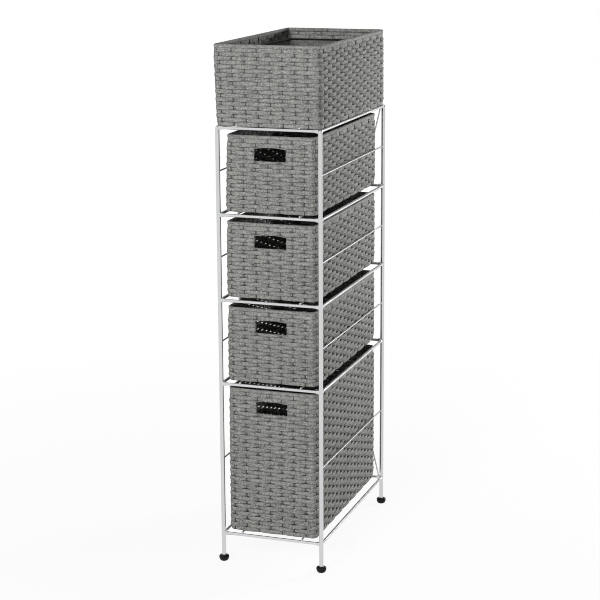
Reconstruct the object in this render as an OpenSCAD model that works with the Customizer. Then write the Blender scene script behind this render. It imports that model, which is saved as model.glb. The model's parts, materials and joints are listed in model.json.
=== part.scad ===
// Bathroom storage tower: a slim steel-rod rack with four woven pull-out baskets and one open basket on top.
// Millimetres. The floor is z = 0, the front faces -Y and the origin is the middle of the footprint.

/* [Frame] */
// distance between the axes of the left and right posts
frame_width = 200; // [180:1:300]
// distance between the axes of the front and back posts
frame_depth = 408; // [300:1:520]
// height of the lowest bars' axes above the floor
leg_height = 57; // [40:1:120]
// height of the tall bottom bay, bar axis to bar axis
tall_bay_height = 302; // [220:1:400]
// height of each of the three small bays, bar axis to bar axis
small_bay_height = 163.5; // [130:0.5:240]

/* [Rods] */
// outside diameter of the four tubular posts
post_diameter = 8.4; // [8.4:0.2:12]
// wall of the posts' tube
post_wall = 1; // [0.8:0.1:2]
// diameter of the horizontal bars
bar_diameter = 5.8; // [4:0.2:5.8]
// diameter of the long wires that the baskets slide on
shelf_wire_diameter = 3.5; // [2.5:0.1:5]
// distance between the two shelf wires of one level
shelf_wire_spacing = 122; // [80:1:150]
// diameter of the guide wire halfway up each bay's side
guide_wire_diameter = 3; // [2:0.1:4]
// diameter of the two crossed wires across the back
brace_wire_diameter = 3; // [2:0.1:4]
// gap between a brace wire's end and the post beside it
brace_post_gap = 0.4; // [0.2:0.1:20]
// clearance between the brace halves and the unbroken brace where they cross
brace_crossing_gap = 0.1; // [0.1:0.1:2]
// how far the weld fillet reaches out along a bar
fillet_length = 8; // [4:1:14]
// height that the weld fillet adds above and below a bar, at the post
fillet_rise = 2.4; // [0.5:0.1:5]

/* [Feet] */
// largest diameter of a foot
foot_diameter = 18.6; // [15:0.2:30]
// diameter of the sole a foot stands on
foot_sole_diameter = 13; // [9:0.2:14.8]
// height of a foot
foot_height = 13; // [11:0.5:30]
// thickness of a foot under the end of its post
foot_sole_thickness = 3; // [1.5:0.1:5]
// radius of the rounding round a foot's top
foot_rounding = 3.4; // [1:0.1:3.6]

/* [Pull-out baskets] */
// gap between a basket's side and the post beside it
basket_side_gap = 7.8; // [3:0.1:20]
// how far a basket's front lies behind the front posts' axes
basket_front_setback = 6; // [0:0.5:20]
// how far a basket's back lies ahead of the back posts' axes
basket_back_setback = 9.9; // [5:0.1:40]
// gap between a small basket's rim and the bar above it
small_basket_headroom = 10.1; // [4:0.1:30]
// gap between the tall basket's rim and the bar above it
tall_basket_headroom = 5.6; // [4:0.1:30]
// width of the hand-hole
grip_width = 61; // [50:1:90]
// height of the hand-hole at its two ends
grip_height = 22; // [20:1:40]
// how much higher the hand-hole's arched top is in the middle
grip_arch = 2.8; // [1:0.1:8]
// height of woven wall between the hand-hole's ends and the basket's top
grip_drop = 24; // [20:1:40]
// thickness of the binding round the hand-hole
grip_binding = 1.6; // [1:0.1:3]
// how far the hand-hole's binding stands proud of the wall on each side
grip_binding_lip = 0.8; // [0.4:0.1:2]

/* [Weave and skeleton] */
// thickness of the woven walls
wall = 5; // [4.6:0.1:8]
// thickness of the woven floor
floor_thickness = 5; // [4.6:0.1:8]
// outside radius of a pull-out basket's upright corners
corner_radius = 11; // [9:0.5:25]
// height of the rim, with its rounded top
rim_height = 7; // [6:0.1:14]
// width of the rim across the wall
rim_width = 6.2; // [5.6:0.1:8]
// diameter of the skeleton's two rings, in the rim and round the floor
skeleton_ring_diameter = 2.6; // [2.4:0.1:2.8]
// diameter of the skeleton's uprights
skeleton_upright_diameter = 2.2; // [2:0.1:2.3]
// diameter of the skeleton's two wires above and below the hand-hole
skeleton_grip_wire_diameter = 1.8; // [1.4:0.1:1.9]
// clearance between a skeleton wire and the weave round it
skeleton_clearance = 0.15; // [0.05:0.05:0.3]
// distance between the skeleton's uprights and the hand-hole's ends
skeleton_grip_gap = 6; // [4.5:0.5:8]
// distance from the middle to the outer uprights of the long sides
skeleton_side_spacing = 120; // [60:1:120]

/* [Top basket] */
// height of the top basket, rim included
top_basket_height = 147; // [90:1:260]
// how far the top basket's sides stand outside the posts' axes
top_basket_overhang = 1.6; // [0:0.1:10]
// outside radius of the top basket's upright corners
top_corner_radius = 7; // [6:0.5:25]
// thickness of the cloth liner
liner_thickness = 1.2; // [0.8:0.1:3]
// gap between the liner and the woven walls and floor
liner_gap = 0.4; // [0.3:0.1:2]
// height of bare weave between the liner's edge and the top of the rim
liner_drop = 21; // [10:1:60]

/* [Hidden] */
$fn = 96;

// colours
paint_silver = [0.72, 0.73, 0.74];
foot_black = [0.05, 0.05, 0.05];
weave_grey = [0.52, 0.52, 0.49];
binding_grey = [0.58, 0.58, 0.55];
wire_dark = [0.20, 0.20, 0.20];
liner_grey = [0.40, 0.40, 0.40];

// how far a cutting shape runs past the face it cuts
past = 1;

// frame
post_x = frame_width / 2;
post_y = frame_depth / 2;
post_r = post_diameter / 2;
bar_r = bar_diameter / 2;
shelf_r = shelf_wire_diameter / 2;
guide_r = guide_wire_diameter / 2;
brace_r = brace_wire_diameter / 2;
level_z = [leg_height,
           leg_height + tall_bay_height,
           leg_height + tall_bay_height + small_bay_height,
           leg_height + tall_bay_height + 2 * small_bay_height,
           leg_height + tall_bay_height + 3 * small_bay_height];
top_level = len(level_z) - 1;
post_top_z = level_z[top_level] + bar_r;
wire_seat = bar_r + shelf_wire_diameter;
brace_offset = bar_r + brace_r;
brace_x = post_x - post_r - brace_r - brace_post_gap;
brace_angle = 2 * atan2(2 * brace_x, level_z[top_level] - level_z[0] + 2 * bar_r - brace_r);
brace_stop = (brace_r * (1 + cos(brace_angle)) + brace_crossing_gap) / sin(brace_angle);

// pull-out baskets: each stands on the shelf wires of its level and ends below the bars above
basket_half_width = post_x - post_r - basket_side_gap;
basket_front_y = -post_y + basket_front_setback;
basket_back_y = post_y - basket_back_setback;
basket_size = [2 * basket_half_width, basket_back_y - basket_front_y];
basket_centre_y = (basket_back_y + basket_front_y) / 2;
basket_base_z = [for (i = [0:top_level - 1]) level_z[i] + wire_seat];
basket_height = [for (i = [0:top_level - 1])
    level_z[i + 1] - bar_r - (i == 0 ? tall_basket_headroom : small_basket_headroom) - basket_base_z[i]];

// top basket: it stands on the top level's shelf wires
top_size = [frame_width + 2 * top_basket_overhang, frame_depth + 2 * top_basket_overhang];
top_base_z = level_z[top_level] + wire_seat;

// skeleton: rings and uprights run along the middle of the wall
ring_r = skeleton_ring_diameter / 2;
upright_r = skeleton_upright_diameter / 2;
grip_wire_r = skeleton_grip_wire_diameter / 2;
channel_r = ring_r + skeleton_clearance;
skeleton_foot = floor_thickness / 2;
rim_bead = rim_height - rim_width / 2;
rim_wire_rise = rim_bead / 2;
grip_upright_x = grip_width / 2 + grip_binding + skeleton_grip_gap;

// ---- profiles and sweeps ----

// a rectangle with round corners, centred
module rounded_rectangle(size, r) {
    square([size[0] - 2 * r, size[1]], center = true);
    square([size[0], size[1] - 2 * r], center = true);
    for (sx = [-1, 1], sy = [-1, 1])
        translate([sx * (size[0] / 2 - r), sy * (size[1] / 2 - r)])
            circle(r);
}

// the section given as a child, carried round a rectangle with round corners; x = 0 is the path
module carried_round(size, r) {
    for (quarter = [0:3]) {
        along = quarter % 2 == 0 ? size[0] : size[1];
        across = quarter % 2 == 0 ? size[1] : size[0];
        rotate([0, 0, 90 * quarter]) {
            translate([-(along / 2 - r), -across / 2, 0])
                rotate([90, 0, 90])
                    linear_extrude(along - 2 * r)
                        children();
            translate([along / 2 - r, -(across / 2 - r), 0])
                rotate([0, 0, -90])
                    rotate_extrude(angle = 90)
                        translate([r, 0])
                            mirror([1, 0])
                                children();
        }
    }
}

// a straight round wire between two points of one upright plane or along an axis
module wire(from, to, r) {
    run = to - from;
    reach = norm(run);
    translate(from)
        rotate([0, acos(run[2] / reach), atan2(run[1], run[0])])
            cylinder(h = reach, r = r);
}

// the outline of the hand-hole, grown by a margin; its middle bottom is the origin
module grip_outline(margin) {
    half = grip_width / 2 + margin;
    arch_r = (pow(grip_width / 2, 2) + pow(grip_arch, 2)) / (2 * grip_arch) + margin;
    crown = grip_height + grip_arch + margin;
    intersection() {
        translate([-half, -margin])
            square([2 * half, crown + margin]);
        translate([0, crown - arch_r])
            circle(arch_r);
    }
}

// ---- frame ----

module post(side, end) {
    color(paint_silver)
        translate([side * post_x, end * post_y, 0])
            difference() {
                union() {
                    translate([0, 0, foot_sole_thickness])
                        cylinder(h = post_top_z - post_r - foot_sole_thickness, r = post_r);
                    translate([0, 0, post_top_z - post_r])
                        sphere(post_r);
                }
                translate([0, 0, foot_sole_thickness - past])
                    cylinder(h = post_top_z - post_diameter - foot_sole_thickness + past,
                             r = post_r - post_wall);
            }
}

module foot(side, end) {
    foot_r = foot_diameter / 2;
    shoulder_z = foot_height - foot_rounding;
    color(foot_black)
        translate([side * post_x, end * post_y, 0])
            difference() {
                union() {
                    cylinder(h = shoulder_z, r1 = foot_sole_diameter / 2, r2 = foot_r);
                    translate([0, 0, shoulder_z])
                        cylinder(h = foot_rounding, r = foot_r - foot_rounding);
                    translate([0, 0, shoulder_z])
                        rotate_extrude()
                            intersection() {
                                translate([foot_r - foot_rounding, 0])
                                    circle(foot_rounding);
                                translate([foot_r - foot_rounding, 0])
                                    square(foot_rounding);
                            }
                }
                translate([0, 0, foot_sole_thickness])
                    cylinder(h = foot_height, r = post_r);
            }
}

// a bar along x of a given axis-to-axis span, fitted between two posts, with a weld fillet at each end
module fitted_bar(span) {
    fillet_r = bar_r + fillet_rise;
    difference() {
        union() {
            rotate([0, 90, 0])
                cylinder(h = span, r = bar_r, center = true);
            for (s = [0, 1])
                mirror([s, 0, 0])
                    intersection() {
                        translate([span / 2 - post_r - fillet_length, 0, 0])
                            rotate([0, 90, 0])
                                cylinder(h = fillet_length + post_r, r1 = bar_r, r2 = fillet_r);
                        translate([span / 2 - post_r - fillet_length, -bar_r * sin(75), -fillet_r - past])
                            cube([fillet_length + post_r, 2 * bar_r * sin(75), 2 * (fillet_r + past)]);
                    }
        }
        for (s = [-1, 1])
            translate([s * span / 2, 0, -fillet_r - past])
                cylinder(h = 2 * (fillet_r + past), r = post_r);
        for (s = [0, 1])
            mirror([s, 0, 0])
                translate([span / 2, -fillet_r, -fillet_r - past])
                    cube([post_diameter, 2 * fillet_r, 2 * (fillet_r + past)]);
    }
}

// keeps a top-level bar's fillets below the bar's upper side, so that the top basket clears them
module under_bar_top(keep_all) {
    if (keep_all)
        children();
    else
        intersection() {
            children();
            translate([-frame_depth, -frame_depth, -frame_depth + bar_r])
                cube([2 * frame_depth, 2 * frame_depth, frame_depth]);
        }
}

module cross_bar(level, end) {
    color(paint_silver)
        translate([0, end * post_y, level_z[level]])
            under_bar_top(level < top_level)
                fitted_bar(frame_width);
}

module side_bar(level, side) {
    color(paint_silver)
        translate([side * post_x, 0, level_z[level]])
            rotate([0, 0, 90])
                under_bar_top(level < top_level)
                    fitted_bar(frame_depth);
}

module shelf_wires(level) {
    z = level_z[level] + bar_r + shelf_r;
    reach = post_y + bar_r;
    color(paint_silver)
        for (s = [-1, 1])
            wire([s * shelf_wire_spacing / 2, -reach, z], [s * shelf_wire_spacing / 2, reach, z], shelf_r);
}

module guide_wires(bay) {
    z = (level_z[bay] + level_z[bay + 1]) / 2;
    color(paint_silver)
        for (s = [-1, 1])
            difference() {
                wire([s * post_x, -post_y, z], [s * post_x, post_y, z], guide_r);
                for (e = [-1, 1])
                    translate([s * post_x, e * post_y, z - post_diameter])
                        cylinder(h = 2 * post_diameter, r = post_r);
            }
}

// corners that a brace runs between, on the backs of the back bars
function brace_ends(side) =
    [[-side * brace_x, post_y + brace_offset, level_z[0] - bar_r],
     [side * brace_x, post_y + brace_offset, level_z[top_level] + bar_r - brace_r]];

// one brace runs unbroken from corner to corner
module brace_long() {
    color(paint_silver)
        wire(brace_ends(1)[0], brace_ends(1)[1], brace_r);
}

// the other is two lengths, which stop against the unbroken one where they cross
module brace_halves() {
    ends = brace_ends(-1);
    crossing = (ends[0] + ends[1]) / 2;
    color(paint_silver)
        for (end = ends) {
            run = crossing - end;
            wire(end, crossing - run / norm(run) * brace_stop, brace_r);
        }
}

// ---- baskets ----

// the skeleton for a basket of one outside size; a margin above 0 makes the channels that hold it
module skeleton(size, height, radius, margin, with_grip) {
    path = [size[0] - wall, size[1] - wall];
    path_r = radius - wall / 2;
    ring_z = height - rim_height + rim_wire_rise;
    module ring(z)
        translate([0, 0, z])
            carried_round(path, path_r)
                circle(ring_r + margin);
    ring(skeleton_foot);
    ring(ring_z);
    for (sy = [-1, 1], sx = [-1, 1])
        wire([sx * grip_upright_x, sy * path[1] / 2, skeleton_foot],
             [sx * grip_upright_x, sy * path[1] / 2, ring_z], upright_r + margin);
    for (sx = [-1, 1], y = [-1, 0, 1])
        wire([sx * path[0] / 2, y * skeleton_side_spacing, skeleton_foot],
             [sx * path[0] / 2, y * skeleton_side_spacing, ring_z], upright_r + margin);
    if (with_grip)
        for (z = [height - grip_drop - grip_height - grip_binding - skeleton_grip_gap,
                  height - grip_drop + grip_arch + grip_binding + skeleton_grip_gap])
            wire([-grip_upright_x, -path[1] / 2, z], [grip_upright_x, -path[1] / 2, z], grip_wire_r + margin);
}

// the woven body: a closed tray with round corners, up to the rim's underside
module woven_body(size, height, radius, with_grip) {
    body_height = height - rim_height;
    difference() {
        linear_extrude(body_height)
            rounded_rectangle(size, radius);
        translate([0, 0, floor_thickness])
            linear_extrude(body_height)
                rounded_rectangle([size[0] - 2 * wall, size[1] - 2 * wall], radius - wall);
        skeleton(size, height, radius, skeleton_clearance, with_grip);
        if (with_grip)
            grip_place(size, height)
                linear_extrude(4 * wall, center = true)
                    grip_outline(grip_binding);
    }
}

// puts a hand-hole's drawing into the middle of the front wall
module grip_place(size, height) {
    translate([0, -size[1] / 2 + wall / 2, height - grip_drop - grip_height])
        rotate([90, 0, 0])
            children();
}

module grip_ring(size, height) {
    grip_place(size, height)
        linear_extrude(wall + 2 * grip_binding_lip, center = true)
            difference() {
                grip_outline(grip_binding);
                grip_outline(0);
            }
}

// the rim's section: a band over the wall with a round top and the ring wire's channel
module rim_section() {
    difference() {
        union() {
            translate([-rim_width / 2, 0])
                square([rim_width, rim_bead]);
            translate([0, rim_bead])
                circle(rim_width / 2);
        }
        translate([-rim_width, -2 * rim_width])
            square([2 * rim_width, 2 * rim_width]);
        translate([0, rim_wire_rise])
            circle(channel_r);
        translate([-channel_r, -past])
            square([2 * channel_r, rim_wire_rise + past]);
    }
}

module rim_band(size, height, radius) {
    translate([0, 0, height - rim_height])
        carried_round([size[0] - wall, size[1] - wall], radius - wall / 2)
            rim_section();
}

module basket_weave(i) {
    color(weave_grey)
        translate([0, basket_centre_y, basket_base_z[i]])
            woven_body(basket_size, basket_height[i], corner_radius, true);
}

module basket_rim(i) {
    color(binding_grey)
        translate([0, basket_centre_y, basket_base_z[i]])
            rim_band(basket_size, basket_height[i], corner_radius);
}

module basket_skeleton(i) {
    color(wire_dark)
        translate([0, basket_centre_y, basket_base_z[i]])
            skeleton(basket_size, basket_height[i], corner_radius, 0, true);
}

module basket_grip(i) {
    color(binding_grey)
        translate([0, basket_centre_y, basket_base_z[i]])
            grip_ring(basket_size, basket_height[i]);
}

module top_basket_weave() {
    color(weave_grey)
        translate([0, 0, top_base_z])
            woven_body(top_size, top_basket_height, top_corner_radius, false);
}

module top_basket_rim() {
    color(binding_grey)
        translate([0, 0, top_base_z])
            rim_band(top_size, top_basket_height, top_corner_radius);
}

module top_basket_skeleton() {
    color(wire_dark)
        translate([0, 0, top_base_z])
            skeleton(top_size, top_basket_height, top_corner_radius, 0, false);
}

module top_basket_liner() {
    inset = wall + liner_gap;
    outer = [top_size[0] - 2 * inset, top_size[1] - 2 * inset];
    outer_r = top_corner_radius - wall;
    base = floor_thickness + liner_gap;
    liner_height = top_basket_height - liner_drop - base;
    color(liner_grey)
        translate([0, 0, top_base_z + base])
            difference() {
                linear_extrude(liner_height)
                    rounded_rectangle(outer, outer_r);
                translate([0, 0, liner_thickness])
                    linear_extrude(liner_height)
                        square([outer[0] - 2 * liner_thickness, outer[1] - 2 * liner_thickness],
                               center = true);
            }
}

// ---- one line for each node ----

post(-1, -1);  // post_front_left
post(1, -1);  // post_front_right
post(-1, 1);  // post_back_left
post(1, 1);  // post_back_right
foot(-1, -1);  // foot_front_left
foot(1, -1);  // foot_front_right
foot(-1, 1);  // foot_back_left
foot(1, 1);  // foot_back_right
cross_bar(0, -1);  // level_1_front_bar
cross_bar(0, 1);  // level_1_back_bar
side_bar(0, -1);  // level_1_left_bar
side_bar(0, 1);  // level_1_right_bar
cross_bar(1, -1);  // level_2_front_bar
cross_bar(1, 1);  // level_2_back_bar
side_bar(1, -1);  // level_2_left_bar
side_bar(1, 1);  // level_2_right_bar
cross_bar(2, -1);  // level_3_front_bar
cross_bar(2, 1);  // level_3_back_bar
side_bar(2, -1);  // level_3_left_bar
side_bar(2, 1);  // level_3_right_bar
cross_bar(3, -1);  // level_4_front_bar
cross_bar(3, 1);  // level_4_back_bar
side_bar(3, -1);  // level_4_left_bar
side_bar(3, 1);  // level_4_right_bar
cross_bar(4, -1);  // level_5_front_bar
cross_bar(4, 1);  // level_5_back_bar
side_bar(4, -1);  // level_5_left_bar
side_bar(4, 1);  // level_5_right_bar
shelf_wires(0);  // level_1_shelf_wires
shelf_wires(1);  // level_2_shelf_wires
shelf_wires(2);  // level_3_shelf_wires
shelf_wires(3);  // level_4_shelf_wires
shelf_wires(4);  // level_5_shelf_wires
guide_wires(0);  // bay_1_guide_wires
guide_wires(1);  // bay_2_guide_wires
guide_wires(2);  // bay_3_guide_wires
guide_wires(3);  // bay_4_guide_wires
brace_long();
brace_halves();
basket_weave(3);  // basket_1_weave
basket_rim(3);  // basket_1_rim
basket_skeleton(3);  // basket_1_skeleton
basket_grip(3);  // basket_1_grip
basket_weave(2);  // basket_2_weave
basket_rim(2);  // basket_2_rim
basket_skeleton(2);  // basket_2_skeleton
basket_grip(2);  // basket_2_grip
basket_weave(1);  // basket_3_weave
basket_rim(1);  // basket_3_rim
basket_skeleton(1);  // basket_3_skeleton
basket_grip(1);  // basket_3_grip
basket_weave(0);  // basket_4_weave
basket_rim(0);  // basket_4_rim
basket_skeleton(0);  // basket_4_skeleton
basket_grip(0);  // basket_4_grip
top_basket_weave();
top_basket_rim();
top_basket_skeleton();
top_basket_liner();
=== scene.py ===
"""Bathroom storage tower: the looks of a rack of steel rods with woven paper-rope baskets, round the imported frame."""

import json
import math

import bpy
import numpy as np
from mathutils import Matrix, Vector

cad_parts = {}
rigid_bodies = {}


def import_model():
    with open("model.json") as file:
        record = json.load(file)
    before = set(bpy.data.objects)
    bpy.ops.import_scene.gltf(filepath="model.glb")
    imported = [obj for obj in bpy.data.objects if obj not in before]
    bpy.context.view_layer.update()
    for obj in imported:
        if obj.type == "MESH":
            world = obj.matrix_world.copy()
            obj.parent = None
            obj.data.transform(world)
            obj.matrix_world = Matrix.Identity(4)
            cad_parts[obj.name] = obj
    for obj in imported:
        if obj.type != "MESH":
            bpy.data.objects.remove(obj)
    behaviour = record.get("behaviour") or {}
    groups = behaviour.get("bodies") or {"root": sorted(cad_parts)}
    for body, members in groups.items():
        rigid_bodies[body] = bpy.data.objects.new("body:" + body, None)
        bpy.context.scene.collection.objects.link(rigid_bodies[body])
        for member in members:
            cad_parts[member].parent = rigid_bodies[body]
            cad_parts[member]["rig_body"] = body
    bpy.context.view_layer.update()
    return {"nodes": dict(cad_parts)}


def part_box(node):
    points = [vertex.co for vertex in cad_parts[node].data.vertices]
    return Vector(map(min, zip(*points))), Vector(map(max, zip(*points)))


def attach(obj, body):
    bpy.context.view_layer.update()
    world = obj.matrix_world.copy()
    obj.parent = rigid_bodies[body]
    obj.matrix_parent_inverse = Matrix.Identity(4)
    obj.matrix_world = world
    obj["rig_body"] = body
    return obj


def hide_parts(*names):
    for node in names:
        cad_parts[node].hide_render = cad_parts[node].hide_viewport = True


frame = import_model()

bl_info = {
    "name": "Storage tower",
    "version": (1, 0, 0),
    "blender": (4, 5, 0),
    "location": "View3D > Sidebar > Tower",
    "description": "Builds a slim rack of steel rods with woven pull-out baskets",
    "category": "Add Mesh",
}

ENDS = (-1, 1)
QUARTER = math.pi / 2
PULL_OUTS = ("basket_1", "basket_2", "basket_3", "basket_4")
BASKETS = PULL_OUTS + ("top_basket",)
WELD = 2e-5                             # vertices nearer than this are merged
HAIR = 1e-5                             # places nearer than this count as one
MAP_NAME = "strand"                     # the map that the rope's finish reads
MAP_START, MAP_SHARE = 0.02, 0.8        # the part of a course's row in that map that goes round the strand


# ---- sizes and colours a user would change ----

class TowerWeave(bpy.types.PropertyGroup):
    """Sizes of the paper-rope weave."""
    float_length: bpy.props.FloatProperty(
        name="Float length", description="Length of rope from behind one stake to behind the next but one",
        default=0.0472, unit="LENGTH")
    course_height: bpy.props.FloatProperty(
        name="Course height", description="Height of one course of rope",
        default=0.0077, unit="LENGTH")
    rope_thickness: bpy.props.FloatProperty(
        name="Rope thickness", description="Thickness of the flattened paper rope",
        default=0.0028, unit="LENGTH")
    swing: bpy.props.FloatProperty(
        name="Swing", description="How far the rope's middle swings to each side of the wall's middle",
        default=0.0022, unit="LENGTH")
    tuck: bpy.props.FloatProperty(
        name="Tuck", description="Share of a float that lies flat behind the stake, to each side of it",
        default=0.005, min=0.0, max=0.2)
    climb: bpy.props.FloatProperty(
        name="Climb", description="Share of a float in which the rope comes out from behind the stake",
        default=0.35, min=0.02, max=0.4)
    squareness: bpy.props.FloatProperty(
        name="Squareness", description="Power that squares the rope's section; 1 is an ellipse",
        default=0.8, min=0.3, max=1.0)
    swell: bpy.props.FloatProperty(
        name="Swell", description="How much taller the rope is in front of a stake, and lower behind one",
        default=0.04, min=0.0, max=0.6)
    overlap: bpy.props.FloatProperty(
        name="Overlap", description="How much taller each course is than its share of the wall",
        default=0.10, min=0.0, max=0.3)
    unevenness: bpy.props.FloatProperty(
        name="Unevenness", description="How much one float differs from the next",
        default=0.00022, unit="LENGTH")
    stake_width: bpy.props.FloatProperty(
        name="Stake width", description="Width of a pair of stakes",
        default=0.0022, unit="LENGTH")
    stake_thickness: bpy.props.FloatProperty(
        name="Stake thickness", description="Thickness of the stakes",
        default=0.0016, unit="LENGTH")


class TowerSlack(bpy.types.PropertyGroup):
    """How far the soft pieces settle out of true."""
    bow: bpy.props.FloatProperty(
        name="Bow", description="How far the soft walls bow outwards between their corners",
        default=0.0014, unit="LENGTH")
    splay: bpy.props.FloatProperty(
        name="Splay", description="How far the pull-out baskets' left front corners stand out at the foot",
        default=0.0024, unit="LENGTH")
    ripple: bpy.props.FloatProperty(
        name="Ripple", description="How far the liner ripples off the walls",
        default=0.0022, unit="LENGTH")


class TowerColours(bpy.types.PropertyGroup):
    """Colours of the finishes."""
    rope: bpy.props.FloatVectorProperty(
        name="Rope", description="Mean colour of the paper rope", subtype="COLOR",
        default=(0.262, 0.262, 0.250), min=0.0, max=1.0)
    silver: bpy.props.FloatVectorProperty(
        name="Silver", description="Colour of the rods' silver paint", subtype="COLOR",
        default=(0.65, 0.655, 0.66), min=0.0, max=1.0)
    rubber: bpy.props.FloatVectorProperty(
        name="Feet", description="Colour of the glossy feet", subtype="COLOR",
        default=(0.006, 0.006, 0.0065), min=0.0, max=1.0)
    felt: bpy.props.FloatVectorProperty(
        name="Liner", description="Colour of the soft liner", subtype="COLOR",
        default=(0.16, 0.16, 0.158), min=0.0, max=1.0)
    # Near-black painted shadow: a thin band round the liner's top stands for the shadow line under the woven border.
    shadow_line: bpy.props.FloatVectorProperty(
        name="Hem", description="Colour of the hem round the liner's top", subtype="COLOR",
        default=(0.012, 0.012, 0.012), min=0.0, max=1.0)
    # The stakes' dark colour is painted shade for the recesses where the rope dives behind them.
    wire: bpy.props.FloatVectorProperty(
        name="Wire", description="Colour of the stakes' coating", subtype="COLOR",
        default=(0.145, 0.145, 0.141), min=0.0, max=1.0)


class TowerStage(bpy.types.PropertyGroup):
    """Camera and lights."""
    camera_place: bpy.props.FloatVectorProperty(
        name="Camera place", description="Where the camera stands", subtype="XYZ", unit="LENGTH",
        default=(1.0709, -3.1360, 1.2632))
    azimuth: bpy.props.FloatProperty(
        name="Azimuth", description="How far the camera stands to the right of the front", subtype="ANGLE",
        default=math.radians(19.028))
    elevation: bpy.props.FloatProperty(
        name="Elevation", description="How far the camera looks down", subtype="ANGLE",
        default=math.radians(13.231))
    roll: bpy.props.FloatProperty(
        name="Roll", description="How far the camera is turned about its own axis", subtype="ANGLE",
        default=math.radians(-0.322))
    lens: bpy.props.FloatProperty(
        name="Lens", description="Focal length, in millimetres, on a 36 mm wide picture", default=102.95)
    key: bpy.props.FloatProperty(
        name="Key light", description="Power of the lamp at the front", default=98.0, unit="POWER")
    side: bpy.props.FloatProperty(
        name="Side light", description="Power of the lamp at the right", default=56.0, unit="POWER")
    sky: bpy.props.FloatProperty(
        name="Room light", description="Strength of the light from all round", default=0.12)


# ---- hand tools ----

def clear_pick():
    """Leaves edit mode and deselects everything."""
    if bpy.context.object and bpy.context.object.mode != "OBJECT":
        bpy.ops.object.mode_set(mode="OBJECT")
    bpy.ops.object.select_all(action="DESELECT")


def pick(*objects):
    """Selects just these objects, the first of them active."""
    clear_pick()
    for piece in objects:
        piece.select_set(True)
    bpy.context.view_layer.objects.active = objects[0]


def settle(piece):
    """Puts a piece's place, turn and scale into its mesh."""
    pick(piece)
    bpy.ops.object.transform_apply(location=True, rotation=True, scale=True)
    return piece


def modify(piece, kind, **settings):
    """Adds a modifier with these settings and applies it."""
    pick(piece)
    modifier = piece.modifiers.new(kind.title(), kind)
    for key, value in settings.items():
        setattr(modifier, key, value)
    bpy.ops.object.modifier_apply(modifier=modifier.name)
    return piece


def edit(piece):
    """Opens a piece in edit mode with everything selected."""
    pick(piece)
    bpy.context.tool_settings.mesh_select_mode = (True, False, False)
    bpy.ops.object.mode_set(mode="EDIT")
    bpy.ops.mesh.select_all(action="SELECT")


def edit_picked(piece, kind, chosen):
    """Opens a piece in edit mode with these of its faces, edges or vertices selected."""
    parts = {"faces": piece.data.polygons, "edges": piece.data.edges, "vertices": piece.data.vertices}
    pick(piece)
    for part in parts.values():
        part.foreach_set("select", np.zeros(len(part), bool))
    parts[kind].foreach_set("select", np.asarray(chosen, bool))
    bpy.context.tool_settings.mesh_select_mode = (kind == "vertices", kind == "edges", kind == "faces")
    bpy.ops.object.mode_set(mode="EDIT")


def close_edit():
    """Goes back to object mode."""
    bpy.ops.object.mode_set(mode="OBJECT")


def close_ends(piece):
    """Caps every open end."""
    edit(piece)
    bpy.ops.mesh.select_all(action="DESELECT")
    bpy.ops.mesh.select_non_manifold()
    bpy.ops.mesh.fill_holes(sides=0)
    close_edit()


def face_out(piece, weld=0.0):
    """Turns all faces outwards, after merging vertices nearer than weld."""
    edit(piece)
    if weld:
        bpy.ops.mesh.remove_doubles(threshold=weld)
    bpy.ops.mesh.normals_make_consistent(inside=False)
    close_edit()
    return piece


def smooth(piece):
    """Shades a piece smooth."""
    pick(piece)
    bpy.ops.object.shade_smooth()
    return piece


def points(piece):
    """The places of a mesh's vertices, as an array."""
    flat = np.empty(len(piece.data.vertices) * 3, np.float32)
    piece.data.vertices.foreach_get("co", flat)
    return flat.reshape(-1, 3).astype(float)


def set_points(piece, places):
    """Moves a mesh's vertices to these places."""
    piece.data.vertices.foreach_set("co", np.asarray(places, np.float32).ravel())
    piece.data.update()


def lift(piece, height):
    """Moves a piece's mesh up."""
    places = points(piece)
    places[:, 2] += height
    set_points(piece, places)
    return piece


def hand_over(piece, name, body, slot, finish, *replaced):
    """Names a finished piece, gives it its finish and its body, and hides the CAD nodes it stands for."""
    piece.name = name
    piece.data.name = name
    piece.data.materials.clear()
    piece.data.materials.append(bpy.data.materials[finish])
    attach(piece, body)
    if replaced:
        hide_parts(*replaced)


# ---- shader maths ----

class Shade:
    """A socket that can be used in arithmetic; each operation adds its Math node."""

    def __init__(self, nodes, socket):
        self.nodes = nodes
        self.socket = socket

    def output(self, which):
        """Another output of the same node, by its name or number."""
        return Shade(self.nodes, self.socket.node.outputs[which])

    def _math(self, operation, first, second=0.0, clamp=False):
        return self.nodes.node("ShaderNodeMath", {"operation": operation, "use_clamp": clamp}, n0=first, n1=second)

    def __add__(self, other): return self._math("ADD", self, other)
    def __radd__(self, other): return self._math("ADD", other, self)
    def __sub__(self, other): return self._math("SUBTRACT", self, other)
    def __rsub__(self, other): return self._math("SUBTRACT", other, self)
    def __mul__(self, other): return self._math("MULTIPLY", self, other)
    def __rmul__(self, other): return self._math("MULTIPLY", other, self)
    def floor(self): return self._math("FLOOR", self)
    def cosine(self): return self._math("COSINE", self)
    def clamped(self): return self._math("ADD", self, clamp=True)

    def between(self, low, high):
        """A value that goes from low to high as this one goes from 0 to 1."""
        return low + self * (high - low)


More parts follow.
